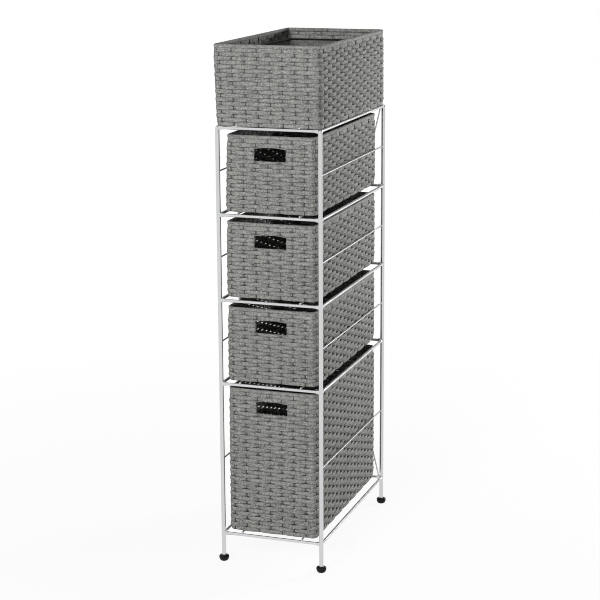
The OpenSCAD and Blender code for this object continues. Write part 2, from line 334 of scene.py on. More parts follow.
class Nodes:
    """A node tree under construction."""

    def __init__(self, tree):
        self.tree = tree
        tree.nodes.clear()

    def node(self, kind, settings=None, out=0, **inputs):
        """Adds a node: its settings first, then the values or links of its sockets, which go by their names,
        or by their numbers as n0, n1 and so on. Gives one of its outputs, if it has any."""
        node = self.tree.nodes.new(kind)
        for key, value in (settings or {}).items():
            setattr(node, key, value)
        for key, value in inputs.items():
            numbered = key[0] == "n" and key[1:].isdigit()
            socket = node.inputs[int(key[1:]) if numbered else key.replace("_", " ")]
            if isinstance(value, Shade):
                self.tree.links.new(value.socket, socket)
            else:
                socket.default_value = value
        return Shade(self, node.outputs[out]) if node.outputs else None

    def rays(self):
        """1 on camera rays, on glossy rays and on transmission rays."""
        path = self.node("ShaderNodeLightPath")
        return [path.output(name) for name in ("Is Camera Ray", "Is Glossy Ray", "Is Transmission Ray")]


class Finish(Nodes):
    """A material under construction."""

    def __init__(self, name):
        self.material = bpy.data.materials.new(name)
        self.material.use_nodes = True
        super().__init__(self.material.node_tree)

    def end(self, surface):
        """Ends the material with this shader."""
        self.node("ShaderNodeOutputMaterial", Surface=surface)
        return self.material

    def coat(self, **inputs):
        """Ends the material with one main shader, whose sockets have these values or links."""
        return self.end(self.node("ShaderNodeBsdfPrincipled", **inputs))

    def place(self):
        """Where on the object a point lies."""
        return self.node("ShaderNodeTexCoord", out="Object")

    def scaled(self, vector, scale, turn=(0, 0, 0)):
        """A vector, turned and stretched."""
        return self.node("ShaderNodeMapping", Vector=vector, Rotation=turn, Scale=scale)

    def noise(self, vector, scale, detail, roughness):
        """Clouds from 0 to 1, with a mean of a half."""
        return self.node("ShaderNodeTexNoise", Vector=vector, Scale=scale, Detail=detail, Roughness=roughness)

    def tint(self, colour, amount):
        """A colour made lighter or darker by a value around 1."""
        grey = self.node("ShaderNodeCombineColor", n0=amount, n1=amount, n2=amount)
        return self.node("ShaderNodeMix", {"data_type": "RGBA", "blend_type": "MULTIPLY"}, out=2,
                         n0=1.0, n6=(*colour, 1), n7=grey)

    def bump(self, height, strength, distance):
        """A normal that follows a height."""
        return self.node("ShaderNodeBump", Height=height, Strength=strength, Distance=distance)


def uneven(*patterns):
    """A value around 1, from patterns with a mean of a half and how strongly each of them shows."""
    value = 1.0
    for pattern, strength in patterns:
        value = value + (pattern - 0.5) * strength
    return value


# ---- finishes ----

def paper_rope(colour):
    """Matt paper rope: long fibres and creases along each strand, and strands that differ a little in tone. Its colour
    also carries painted shade at each strand's upper and lower edges, where the courses meet, and painted shade and
    highlight of the twisted rope's small relief in its creases and specks.
    """
    finish = Finish("paper_rope")
    strand = finish.node("ShaderNodeUVMap", {"uv_map": MAP_NAME})
    along = finish.node("ShaderNodeSeparateXYZ", Vector=strand)
    across = along.output(1)
    course = across.floor()
    turn = (across - course - MAP_START) * (1 / MAP_SHARE)
    edge = 0.5 - 0.5 * (turn * (4 * math.pi)).cosine()
    this_float = finish.node("ShaderNodeCombineXYZ", X=(along + course * 0.5).floor(), Y=course)
    shade = finish.node("ShaderNodeTexWhiteNoise", {"noise_dimensions": "2D"}, Vector=this_float)
    fibres = finish.noise(finish.scaled(strand, scale=(3.5, 10.0, 1.0)), scale=1.0, detail=4.0, roughness=0.75)
    twisted = finish.scaled(strand, scale=(47.0, 25.0, 1.0), turn=(0, 0, 0.6))
    creases = finish.noise(finish.scaled(twisted, scale=(0.16, 0.55, 1.0)), scale=1.0, detail=3.0, roughness=0.7)
    specks = finish.noise(finish.place(), scale=300.0, detail=3.0, roughness=0.8)
    # Painted shade: the colour darkens towards each strand's upper and lower edges, where the courses meet.
    painted_edge_shade = 1 - edge * 0.14
    # The strands' tone and the fibres are the paper's own colour; the creases and specks are partly that and partly
    # painted shade and highlight of the twisted rope's small relief.
    light = uneven((shade, 0.10), (fibres, 1.5), (creases, 1.7), (specks, 2.8)) * painted_edge_shade
    height = fibres + creases * 1.6 + specks * 0.5
    finish.coat(Base_Color=finish.tint(colour, light), Roughness=fibres.between(0.58, 0.88),
                Specular_IOR_Level=0.12, Normal=finish.bump(height, strength=0.8, distance=0.0007))


def silver_paint(colour):
    """Satin silver paint over steel rod, with a faint orange peel."""
    finish = Finish("silver_paint")
    peel = finish.noise(finish.place(), scale=700.0, detail=2.0, roughness=0.5)
    cloud = finish.noise(finish.place(), scale=18.0, detail=2.0, roughness=0.5)
    finish.coat(Base_Color=finish.tint(colour, cloud.between(0.93, 1.07)), Roughness=cloud.between(0.17, 0.25),
                Metallic=0.95, Normal=finish.bump(peel, strength=0.12, distance=0.0003))


def gloss_black(colour):
    """Glossy black moulded feet with faint wear."""
    finish = Finish("gloss_black")
    cloud = finish.noise(finish.place(), scale=140.0, detail=3.0, roughness=0.6)
    finish.coat(Base_Color=finish.tint(colour, cloud.between(0.8, 1.3)), Roughness=cloud.between(0.16, 0.30),
                Specular_IOR_Level=0.15, Coat_Weight=0.04, Coat_Roughness=0.08)


def stake_painted_shade(colour):
    """Dark colour on the stakes' wires: painted shade for the recesses where the rope dives behind them, with a faint
    random tone.
    """
    finish = Finish("stake_painted_shade")
    cloud = finish.noise(finish.place(), scale=60.0, detail=2.0, roughness=0.5)
    finish.coat(Base_Color=finish.tint(colour, cloud.between(0.8, 1.2)), Roughness=cloud.between(0.5, 0.7),
                Specular_IOR_Level=0.2)


def soft_felt(name, colour):
    """Non-woven cloth of short matted fibres."""
    finish = Finish(name)
    fuzz = finish.noise(finish.place(), scale=420.0, detail=3.0, roughness=0.8)
    mottle = finish.noise(finish.place(), scale=110.0, detail=3.0, roughness=0.6)
    finish.coat(Base_Color=finish.tint(colour, uneven((fuzz, 3.2), (mottle, 1.4))), Roughness=0.95,
                Specular_IOR_Level=0.15, Sheen_Weight=0.25, Sheen_Roughness=0.5,
                Normal=finish.bump(fuzz + mottle, strength=0.6, distance=0.0006))


def studio_white():
    """Pale matt paper that camera, glossy and transmission rays see as white, a shade darker near the object."""
    finish = Finish("studio_white")
    near_end, fade_rate, near_white = 0.45, 0.9, 0.92
    camera, glossy, through = finish.rays()
    away = finish.node("ShaderNodeVectorMath", {"operation": "LENGTH"}, out="Value", n0=finish.place())
    plain = ((away - near_end) * fade_rate).clamped().between(near_white, 1.0)
    return finish.end(finish.node(
        "ShaderNodeMixShader", n0=(plain * (camera + glossy + through)).clamped(),
        n1=finish.node("ShaderNodeBsdfPrincipled", Base_Color=(0.9, 0.9, 0.9, 1), Roughness=0.9),
        n2=finish.node("ShaderNodeEmission", Color=(1, 1, 1, 1), Strength=1.0)))


# ---- the weave ----

STATIONS = (0, 0.03, 0.07, 0.13, 0.21, 0.33, 0.5, 0.67, 0.79, 0.87, 0.93, 0.97, 1)    # sections along a float
ROPE_SIDES = 8
CROWN = 0.05                            # how much of its way out a float still gains at its middle
CORNER_STEPS = 8
KINDS = (97, 500)                       # how many floats along and up differ before they repeat
ROUNDING = 1e-6                         # keeps a place on a course's lower edge in that course
SIDESTEP = 0.45                         # how far a float shifts up or down, as a share of how far it fills out
CALM = 0.45                             # how much of their wave the lowest and highest courses keep
STAKE_SIDES = 6
STAKE_MAP = (0.22, 0.4, 0.37)           # start and width of a stake in its map, and the step to the next stake


def flat_path(ring):
    """Turns a ring of edges into a flat closed curve, and gives its corners and its length."""
    pick(ring)
    bpy.ops.object.convert(target="CURVE")
    ring.data.dimensions = "2D"
    corners = [Vector(point.co[:3]) for point in ring.data.splines[0].points]
    return corners, sum((corners[i] - corners[i - 1]).length for i in range(len(corners)))


def round_path(width, depth, radius, centre_y):
    """A closed path round a rectangle with round corners, counter-clockwise from above, and its length."""
    clear_pick()
    bpy.ops.mesh.primitive_plane_add(size=1, location=(0, centre_y, 0))
    path = bpy.context.object
    path.scale = (width, depth, 1)
    settle(path)
    edit(path)
    bpy.ops.mesh.bevel(offset=radius, offset_type="OFFSET", segments=CORNER_STEPS, affect="VERTICES")
    bpy.ops.mesh.delete(type="ONLY_FACE")
    close_edit()
    corners, length = flat_path(path)
    if sum(corners[i - 1].x * corners[i].y - corners[i].x * corners[i - 1].y for i in range(len(corners))) < 0:
        pick(path)
        bpy.ops.object.mode_set(mode="EDIT")
        bpy.ops.curve.select_all(action="SELECT")
        bpy.ops.curve.switch_direction()
        close_edit()
    return path, length


def strand_start(sides, steps):
    """An open tube, one across, that is drawn out from the origin along X in these steps."""
    clear_pick()
    bpy.ops.mesh.primitive_circle_add(vertices=sides, radius=0.5, location=(0, 0, 0), rotation=(0, QUARTER, 0))
    tube = settle(bpy.context.object)
    edit(tube)
    for step in steps:
        bpy.ops.mesh.extrude_region_move(TRANSFORM_OT_translate={"value": (step, 0, 0)})
    close_edit()
    return tube


def squared(values, power):
    """Distances across a round section one wide, moved towards those across a square one."""
    return np.sign(values) * np.abs(2 * values) ** power / 2


def new_map(mesh):
    """Gives a mesh a fresh strand map as its only one."""
    while mesh.uv_layers:
        mesh.uv_layers.remove(mesh.uv_layers[0])
    return mesh.uv_layers.new(name=MAP_NAME)


def map_strand(unit, places, period, row):
    """The strand's own map: along it in periods, and round it, from its inner face, within its course."""
    mesh = unit.data
    layer = new_map(mesh)
    turns = 0.5 + np.arctan2(places[:, 2], places[:, 1]) / (2 * math.pi)
    for polygon in mesh.polygons:
        mine = [turns[mesh.loops[loop].vertex_index] for loop in polygon.loop_indices]
        wraps = max(mine) - min(mine) > 0.5
        for loop, turn in zip(polygon.loop_indices, mine):
            if wraps and turn < 0.5:
                turn += 1
            along = places[mesh.loops[loop].vertex_index, 0] / period
            layer.data[loop].uv = (along, row + MAP_START + MAP_SHARE * turn)


def strand_unit(weave, period, pitch, row):
    """One period of a flat rope: from behind one stake, out over the next, and back behind the one after.
    Rows of even number start behind a stake, and rows of odd number in front of one. Both ends stay open."""
    if row % 2:
        shares = [s - 0.5 for s in STATIONS if s >= 0.5] + [s + 0.5 for s in STATIONS if 0 < s <= 0.5]
    else:
        shares = STATIONS
    unit = strand_start(ROPE_SIDES, [(after - before) * period for before, after in zip(shares, shares[1:])])
    places = points(unit)
    map_strand(unit, places, period, row)
    from_dive = (places[:, 0] / period + 0.5 * row) % 1.0
    from_stake = np.minimum(from_dive, 1 - from_dive)
    out = np.sin(QUARTER * np.clip((from_stake - weave.tuck) / weave.climb, 0, 1))
    ahead = -1 + out * 2 * (1 - CROWN + CROWN * np.sin(math.pi * from_dive))
    tall = 1 + weave.overlap + weave.swell * ahead
    places[:, 1] = squared(places[:, 1], weave.squareness) * weave.rope_thickness + ahead * weave.swing
    places[:, 2] = (row + 0.5) * pitch + squared(places[:, 2], weave.squareness) * pitch * tall
    set_points(unit, places)
    return unit


def repeat(unit, step, count, **shift):
    """Copies a unit in a row and merges where the copies meet."""
    return modify(unit, "ARRAY", fit_type="FIXED_COUNT", count=count, use_relative_offset=False,
                  use_constant_offset=True, constant_offset_displace=step, use_merge_vertices=True,
                  merge_threshold=HAIR, **shift)


def flat_weave(weave, periods, period, courses, pitch):
    """Courses of rope side by side, laid alternately before and behind the stakes, still flat."""
    halves = []
    for row, count in enumerate(((courses + 1) // 2, courses // 2)):
        strand = repeat(strand_unit(weave, period, pitch, row), (period, 0, 0), periods, offset_u=1.0)
        halves.append(repeat(strand, (0, 0, 2 * pitch), count, offset_v=2.0))
    pick(*halves)
    bpy.ops.object.join()
    return bpy.context.object


def loosen(weave, piece, period, pitch, seed):
    """Hand-made unevenness: each float is a little fuller, taller or further along than the next."""
    dice = np.random.default_rng(seed)
    places = points(piece)
    along = places[:, 0] / period
    course = np.clip(np.floor(places[:, 2] / pitch + ROUNDING), 0, KINDS[1] - 1).astype(int)
    low = np.floor(places[:, 2] / pitch - 0.5).astype(int)
    bow = np.sin(math.pi * ((along + 0.5 * course) % 1.0)) ** 2
    mine = np.floor(along + 0.5 * course).astype(int) % KINDS[0], np.clip(low, 0, KINDS[1] - 1)
    full, shift = dice.normal(0, 1, KINDS), dice.normal(0, 1, KINDS)
    places[:, 1] -= weave.unevenness * bow * full[mine]
    places[:, 2] += SIDESTEP * weave.unevenness * bow * shift[mine]
    set_points(piece, places)
    return piece


def calm_ends(piece, pitch, height):
    """Makes the lowest and the highest course wave less than the others."""
    places = points(piece)
    from_end = np.minimum(places[:, 2], height - places[:, 2])
    places[:, 1] *= CALM + (1 - CALM) * np.clip(from_end / pitch - 0.5, 0, 1)
    set_points(piece, places)


def stake_row(weave, period, periods, height):
    """The stakes that the courses go round: each a pair of thin wires side by side."""
    start, share, step = STAKE_MAP
    wires = []
    for side in ENDS:
        clear_pick()
        bpy.ops.mesh.primitive_cylinder_add(
            vertices=STAKE_SIDES, radius=weave.stake_width / 4, depth=height,
            location=(side * weave.stake_width / 4, 0, height / 2))
        wire = bpy.context.object
        wire.scale = (1, weave.stake_thickness / (weave.stake_width / 2), 1)
        mesh = settle(wire).data
        layer = new_map(mesh)
        for loop in mesh.loops:
            spot = mesh.vertices[loop.vertex_index].co
            layer.data[loop.index].uv = (spot.z / weave.float_length, start + share * spot.x / weave.stake_width)
        wires.append(wire)
    pick(*wires)
    bpy.ops.object.join()
    return repeat(bpy.context.object, (period / 2, 0, 0), 2 * periods, offset_u=step)


def bend(piece, path):
    """Bends a straight piece along a path."""
    return modify(piece, "CURVE", object=path, deform_axis="POS_X")


def woven_wall(weave, basket, seed):
    """Closed courses of rope round a basket, and their stakes."""
    path, length = round_path(*basket.path_size, basket.path_radius, basket.centre_y)
    periods = round(length / weave.float_length)
    period = length / periods
    courses = round(basket.body / weave.course_height)
    pitch = basket.body / courses
    wall = loosen(weave, flat_weave(weave, periods, period, courses, pitch), period, pitch, seed)
    calm_ends(wall, pitch, basket.body)
    face_out(bend(wall, path), WELD)
    stakes = bend(stake_row(weave, period, periods, basket.body), path)
    bpy.data.objects.remove(path)
    return lift(wall, basket.base), lift(stakes, basket.base)


BAND_SIDES = 8
BAND_SQUARENESS = 0.75
PINCH = 0.10                            # how much a band pulls in where it is tied


def loop_band(path, length, tie_step, section, steps, row, sides=BAND_SIDES):
    """A closed band of rope along a path. Its section is (width, height), and it pulls in where it is tied."""
    periods = max(1, round(length / tie_step))
    period = length / periods
    unit = strand_start(sides, [period / steps] * steps)
    places = points(unit)
    map_strand(unit, places, period, row)
    from_tie = (places[:, 0] / period + 0.5 * row) % 1.0
    full = 1 - PINCH * np.cos(2 * math.pi * from_tie)
    places[:, 1] = squared(places[:, 1], BAND_SQUARENESS) * section[0] * full
    places[:, 2] = squared(places[:, 2], BAND_SQUARENESS) * section[1]
    set_points(unit, places)
    band = bend(repeat(unit, (period, 0, 0), periods, offset_u=1.0), path)
    bpy.data.objects.remove(path)
    return face_out(band, WELD)


# ---- baskets ----

WALL = 0.005                            # thickness of a woven wall or floor
BORDER = 0.007                          # how far a rim's top stands above the woven body
RIM = {"section": (0.0060, 0.0074), "steps": 10, "row": 200, "sides": 12}
RIM_OUT = 0.002                         # how much rounder a rim's corners are than the wall's
# The painted shadow line round the liner's top: a thin near-black band under the woven border.
SHADOW_LINE = {"section": (0.0020, 0.0038), "steps": 2, "row": 400}
BINDING = {"section": (0.0016, WALL + 0.0014), "steps": 6, "row": 300}
TIE_STEP = 0.02                         # from tie to tie along the painted shadow line and the bindings
CORNERS = dict.fromkeys(PULL_OUTS, 0.011) | {"top_basket": 0.007}
WALL_DROP = dict.fromkeys(PULL_OUTS, 0) | {"top_basket": 0.0028}    # how far the walls reach below the CAD's
HAND_HOLE = {"width": 0.0626, "height": 0.0230, "arch": 0.0022, "drop": 0.0242}
BINDING_GAP = 0.0009                    # from a hand-hole's edge to the middle of its binding
OUTLINE_CUTS = 11
NEAR = 2 * WALL                         # a strand this near a hand-hole may be cut by it
FLOOR_FILL = 0.48                       # how far from its middle the woven floor reaches, as a share of WALL
BELLY = 0.8                             # power of the bow over a wall's height
END_BOW = 0.7                           # bow of the front and back walls, as a share of the side walls'
LEAN = 0.0030                           # how far the top basket and basket_1 lean at their rims
LEAN_SPREAD = 0.5                       # how much more the top basket's left side leans, and its right side less
FLARE = 0.0015                          # how much the top basket opens to the front and the back
SPLAY_FADE = 0.4                        # how much of the splay is gone at the rim


class Basket:
    """A basket's sizes, read off its CAD nodes, and the way its soft walls settle out of true."""

    def __init__(self, name):
        low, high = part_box(name + "_weave")
        drop = WALL_DROP[name]
        self.name = name
        self.width, self.depth = high.x - low.x, high.y - low.y
        self.base, self.body = low.z - drop, high.z - low.z + drop
        self.top = self.base + self.body + BORDER
        self.floor_z = low.z + WALL / 2
        self.front, self.centre_y = low.y, (high.y + low.y) / 2
        self.path_size = (self.width - WALL, self.depth - WALL)
        self.path_radius = CORNERS[name] - WALL / 2

    def hand_hole(self):
        """The hand-hole's half width, its foot, and its crown at its ends."""
        foot = self.top - HAND_HOLE["drop"] - HAND_HOLE["height"]
        return HAND_HOLE["width"] / 2, foot, foot + HAND_HOLE["height"]

    def settle(self, piece, slack):
        """Bows soft walls outwards between their corners, and leans them where the photograph shows it."""
        places = points(piece)
        rise = np.clip((places[:, 2] - self.base) / (self.top - self.base), 0, 1)
        u = 2 * places[:, 0] / self.width
        v = 2 * (places[:, 1] - self.centre_y) / self.depth
        belly = np.sin(math.pi * rise) ** BELLY
        places[:, 0] += slack.bow * belly * (1 - v ** 2) * u ** 3
        places[:, 1] += END_BOW * slack.bow * belly * (1 - np.clip(u, -1, 1) ** 2) * v ** 3
        front = np.clip(-v, 0, 1)
        if self.name == "top_basket":
            places[:, 0] -= LEAN * rise * (1 - LEAN_SPREAD * u)
            places[:, 1] += FLARE * rise * v
        else:
            if self.name == "basket_1":
                places[:, 0] += LEAN * rise * (1 - np.clip(u, -1, 1)) / 2 * front
            places[:, 0] -= slack.splay * (1 - SPLAY_FADE * rise) * np.clip(-u, 0, 1) ** 2 * front
        set_points(piece, places)
        return smooth(piece)


def strands_among(piece, near):
    """Numbers the vertices so that those of one strand, among the near ones, share a number."""
    edges = np.empty(2 * len(piece.data.edges), np.int32)
    piece.data.edges.foreach_get("vertices", edges)
    edges = edges.reshape(-1, 2)
    first, second = edges[near[edges].all(axis=1)].T
    strand, before = np.arange(len(near)), None
    while before is None or (strand != before).any():
        before = strand.copy()
        low = np.minimum(strand[first], strand[second])
        np.minimum.at(strand, first, low)
        np.minimum.at(strand, second, low)
    return strand


def cap_strands(piece, basket):
    """Caps each rope that ends at a side of the hand-hole with a flat face of its own."""
    half, foot, crown = basket.hand_hole()
    for side in ENDS:
        places = points(piece)
        near = (np.abs(places[:, 0] - side * half) < NEAR) & (places[:, 1] < basket.front + NEAR)
        near &= (places[:, 2] > foot - NEAR) & (places[:, 2] < crown + NEAR)
        strand = strands_among(piece, near)
        cut = near & (np.abs(places[:, 0] - side * half) < HAIR)
        cut &= (places[:, 2] > foot - HAIR) & (places[:, 2] < crown + HAIR)
        for number in np.unique(strand[cut]):
            chosen = cut & (strand == number)
            if chosen.sum() > 2:
                edit_picked(piece, "vertices", chosen)
                bpy.ops.mesh.edge_face_add()
                close_edit()


def cut_hand_hole(piece, basket):
    """Cuts the hand-hole out of the front wall along its outline, and closes the cut ends of the ropes."""
    half, foot, crown = basket.hand_hole()

    def middles():
        centres = np.empty(len(piece.data.polygons) * 3, np.float32)
        piece.data.polygons.foreach_get("center", centres)
        return centres.reshape(-1, 3)

    def slice_near(place, normal):
        spots = middles()
        edit_picked(piece, "faces", (np.abs(spots[:, 0]) < 2 * half) & (spots[:, 1] < basket.front + NEAR))
        bpy.ops.mesh.bisect(plane_co=place, plane_no=normal)
        close_edit()

    def arch(along):
        return HAND_HOLE["arch"] * np.clip(1 - (along / half) ** 2, 0, 1)

    for side in ENDS:
        slice_near((side * half, 0, 0), (1, 0, 0))
    for height, sign in ((foot, 1), (crown, -1)):
        slice_near((0, 0, height), (0, 0, 1))
        places = points(piece)
        places[:, 2] -= sign * arch(places[:, 0])
        set_points(piece, places)
    spots = middles()
    edit_picked(piece, "faces", (np.abs(spots[:, 0]) < half) & (spots[:, 1] < basket.front + NEAR)
                & (spots[:, 2] > foot) & (spots[:, 2] < crown + arch(spots[:, 0])))
    bpy.ops.mesh.delete(type="FACE")
    close_edit()
    cap_strands(piece, basket)
    close_ends(piece)


def hand_hole_outline(basket, grow):
    """The hand-hole's outline as a closed flat path, its height along Y, and its length."""
    half, foot, crown = basket.hand_hole()
    clear_pick()
    bpy.ops.mesh.primitive_plane_add(size=1, location=(0, (foot + crown) / 2, 0))
    outline = bpy.context.object
    outline.scale = (2 * (half + grow), crown - foot + 2 * grow, 1)
    settle(outline)
    edit(outline)
    bpy.ops.mesh.delete(type="ONLY_FACE")
    bpy.ops.mesh.select_all(action="SELECT")
    bpy.ops.mesh.subdivide(number_cuts=OUTLINE_CUTS)
    close_edit()
    places = points(outline)
    share = np.clip((places[:, 1] - foot) / (crown - foot), 0, 1)
    places[:, 1] += share * HAND_HOLE["arch"] * np.clip(1 - (places[:, 0] / (half + grow)) ** 2, 0, 1)
    set_points(outline, places)
    return outline, flat_path(outline)[1]


def woven_floor(basket, weave):
    """The woven floor: courses from side to side, cut to the basket's round corners."""
    width, depth = basket.path_size
    periods = max(2, round(width / weave.float_length))
    courses = round(depth / weave.course_height)
    mat = flat_weave(weave, periods, width / periods, courses, depth / courses)
    close_ends(mat)
    places = points(mat)
    x, out, y = places[:, 0] - width / 2, places[:, 1].copy(), places[:, 2] - depth / 2
    radius = basket.path_radius
    from_end = np.clip(depth / 2 - np.abs(y), 0, radius)
    inset = radius - np.sqrt(np.maximum(0, radius ** 2 - (radius - from_end) ** 2))
    places[:, 0] = x * (1 - inset / (width / 2))
    places[:, 1] = y + basket.centre_y
    places[:, 2] = basket.floor_z + out * (FLOOR_FILL * WALL / np.abs(out).max())
    set_points(mat, places)
    return face_out(mat)


# ---- the top basket's liner ----

LINER_THICKNESS = 0.0012
LINER_FOLD = {"offset": 0.004, "segments": 3}
LINER_CUTS = 24
SHADOW_LINE_CORNER = 0.004
RIPPLES = ((0, 61, 23, 0.0), (1, 47, -31, 1.3))     # axis, waves along it and up the wall, and where they start
RIPPLE_SHARE = (0.5, 0.25)                          # of the ripple's size: the mean, and each wave
RIPPLE_FULLNESS = 0.7                               # power of the ripple over the wall's height
SAG_SHARE, SAG_WAVES = (0.6, 0.4), (40, 33)         # the same on the liner's floor, along X and Y
WALL_SHARE = 0.9                                    # how far out the liner's walls begin
FLOOR_SHARE = 0.03                                  # how far up its floor ends


def liner_box(low, high):
    """An open box of one thin sheet, with its upright and lower edges rounded."""
    middle = (low + high) / 2
    clear_pick()
    bpy.ops.mesh.primitive_cube_add(size=1, location=middle)
    liner = bpy.context.object
    liner.scale = (high.x - low.x - LINER_THICKNESS, high.y - low.y - LINER_THICKNESS, high.z - low.z)
    settle(liner)
    edit_picked(liner, "faces", [face.normal.z > 0.5 for face in liner.data.polygons])
    bpy.ops.mesh.delete(type="ONLY_FACE")
    close_edit()
    heights = points(liner)[:, 2]
    edit_picked(liner, "edges", [min(heights[end] for end in edge.vertices) < middle.z for edge in liner.data.edges])
    bpy.ops.mesh.bevel(affect="EDGES", **LINER_FOLD)
    bpy.ops.mesh.select_all(action="SELECT")
    bpy.ops.mesh.subdivide(number_cuts=LINER_CUTS)
    close_edit()
    return liner


def ripple_liner(liner, low, high, size):
    """Soft cloth: its walls ripple inwards and its floor isn't quite flat."""
    middle = (low + high) / 2
    places = points(liner)
    rise = np.clip((places[:, 2] - low.z) / (high.z - low.z), 0, 1)
    u = (places[:, 0] - middle.x) / ((high.x - low.x) / 2)
    v = (places[:, 1] - middle.y) / ((high.y - low.y) / 2)
    ripple = sum(np.sin(places[:, axis] * along + places[:, 2] * up + start) for axis, along, up, start in RIPPLES)
    pull = size * (RIPPLE_SHARE[0] + RIPPLE_SHARE[1] * ripple) * np.sin(math.pi * rise) ** RIPPLE_FULLNESS
    places[:, 0] -= pull * np.sign(u) * (np.abs(u) > WALL_SHARE) * (1 - v ** 8)
    places[:, 1] -= pull * np.sign(v) * (np.abs(v) > WALL_SHARE) * (1 - u ** 8)
    waves = np.sin(places[:, 0] * SAG_WAVES[0]) * np.sin(places[:, 1] * SAG_WAVES[1])
    sag = size * (SAG_SHARE[0] + SAG_SHARE[1] * waves)
    places[:, 2] += sag * (rise < FLOOR_SHARE) * (1 - u ** 4) * (1 - v ** 4)
    set_points(liner, places)


# ---- feet ----

FOOT_WIDTH, FOOT_HEIGHT = 1.06, 0.92    # the turned foot's size, as shares of the CAD foot's
FOOT_SHOULDER = 0.72                    # how high its widest ring is
FOOT_SOLE = FOOT_NECK = 0.50            # radii of its sole and its neck
FOOT_SIDES, FOOT_STEPS = 32, 7


def turned_foot(radius, height):
    """A foot as turned on a lathe, its sole at the origin: a bowl below its shoulder, and a dome above."""
    shoulder, sole, neck = FOOT_SHOULDER * height, FOOT_SOLE * radius, FOOT_NECK * radius
    angles = [QUARTER * n / FOOT_STEPS for n in range(FOOT_STEPS + 1)]
    profile = [(shoulder * (1 - math.cos(a)), sole + (radius - sole) * math.sin(a)) for a in angles]
    profile += [(shoulder + (height - shoulder) * math.sin(a), neck + (radius - neck) * math.cos(a))
                for a in angles[1:]]
    clear_pick()
    bpy.ops.mesh.primitive_circle_add(vertices=FOOT_SIDES, radius=sole, fill_type="NGON", location=(0, 0, 0))
    foot = bpy.context.object
    edit(foot)
    for (z, r), (next_z, next_r) in zip(profile, profile[1:]):
        bpy.ops.mesh.extrude_region_move(TRANSFORM_OT_translate={"value": (0, 0, next_z - z)})
        bpy.ops.transform.resize(value=(next_r / r, next_r / r, 1), center_override=(0, 0, next_z))
    close_edit()
    return smooth(face_out(foot))


# ---- operators ----

class TowerStep:
    """What the operators share."""
    bl_options = {"REGISTER", "UNDO"}


class TOWER_OT_finishes(TowerStep, bpy.types.Operator):
    """Makes the finishes: paper rope, silver paint, gloss black, felt, the near-black felt of the painted shadow line
    round the liner's top, and the stakes' dark painted shade.
    """
    bl_idname = "tower.finishes"
    bl_label = "Finishes"

    def execute(self, context):
        colours = context.scene.tower_colours
        paper_rope(colours.rope)
        silver_paint(colours.silver)
        gloss_black(colours.rubber)
        soft_felt("soft_felt", colours.felt)
        # Near-black felt for the painted shadow line round the liner's top.
        soft_felt("shadow_line_felt", colours.shadow_line)
        # Dark painted shade for the stakes, in the recesses where the rope dives behind them.
        stake_painted_shade(colours.wire)
        return {"FINISHED"}


class TOWER_OT_rods(TowerStep, bpy.types.Operator):
    """Paints the rods, which are the frame's own CAD nodes."""
    bl_idname = "tower.rods"
    bl_label = "Rods"

    def execute(self, context):
        for node in frame["nodes"].values():
            if node["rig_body"] == "frame":
                node.data.materials.clear()
                node.data.materials.append(bpy.data.materials["silver_paint"])
        return {"FINISHED"}


class TOWER_OT_feet(TowerStep, bpy.types.Operator):
    """Turns the glossy feet: a round shoulder over a bowl that narrows to a small sole."""
    bl_idname = "tower.feet"
    bl_label = "Feet"

    def execute(self, context):
        names = [name for name in frame["nodes"] if name.startswith("foot")]
        low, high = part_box(names[0])
        pattern = turned_foot(FOOT_WIDTH * (high.x - low.x) / 2, FOOT_HEIGHT * (high.z - low.z))
        for name in names:
            low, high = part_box(name)
            pick(pattern)
            bpy.ops.object.duplicate()
            foot = bpy.context.object
            set_points(foot, points(foot) + ((low.x + high.x) / 2, (low.y + high.y) / 2, low.z))
            hand_over(foot, name + "_turned", "frame", "foot_black", "gloss_black", name)
        bpy.data.objects.remove(pattern)
        return {"FINISHED"}


class TOWER_OT_walls(TowerStep, bpy.types.Operator):
    """Weaves the walls of the five baskets round their stakes."""
    bl_idname = "tower.walls"
    bl_label = "Woven walls"

    def execute(self, context):
        slack = context.scene.tower_slack
        for seed, name in enumerate(BASKETS):
            basket = Basket(name)
            wall, stakes = woven_wall(context.scene.tower_weave, basket, seed)
            if name in PULL_OUTS:
                cut_hand_hole(wall, basket)
                cut_hand_hole(stakes, basket)
            basket.settle(wall, slack)
            basket.settle(stakes, slack)
            hand_over(wall, name + "_walls", name, "weave_grey", "paper_rope", name + "_weave")
            # The stakes' dark finish is painted shade for the recesses between the floats.
            hand_over(stakes, name + "_stakes", name, "skeleton_wire", "stake_painted_shade", name + "_skeleton")
        return {"FINISHED"}


class TOWER_OT_floors(TowerStep, bpy.types.Operator):
    """Weaves the baskets' floors."""
    bl_idname = "tower.floors"
    bl_label = "Woven floors"

    def execute(self, context):
        for name in BASKETS:
            basket = Basket(name)
            floor = woven_floor(basket, context.scene.tower_weave)
            basket.settle(floor, context.scene.tower_slack)
            hand_over(floor, name + "_floor", name, "weave_grey", "paper_rope")
        return {"FINISHED"}


class TOWER_OT_rims(TowerStep, bpy.types.Operator):
    """Binds the baskets' rims with a thick band of rope."""
    bl_idname = "tower.rims"
    bl_label = "Rims"

    def execute(self, context):
        tie_step = context.scene.tower_weave.float_length
        for name in BASKETS:
            basket = Basket(name)
            path, length = round_path(*basket.path_size, basket.path_radius + RIM_OUT, basket.centre_y)
            rim = lift(loop_band(path, length, tie_step, **RIM), basket.top - RIM["section"][1] / 2)
            basket.settle(rim, context.scene.tower_slack)
            hand_over(rim, name + "_border", name, "weave_grey", "paper_rope", name + "_rim")
        return {"FINISHED"}


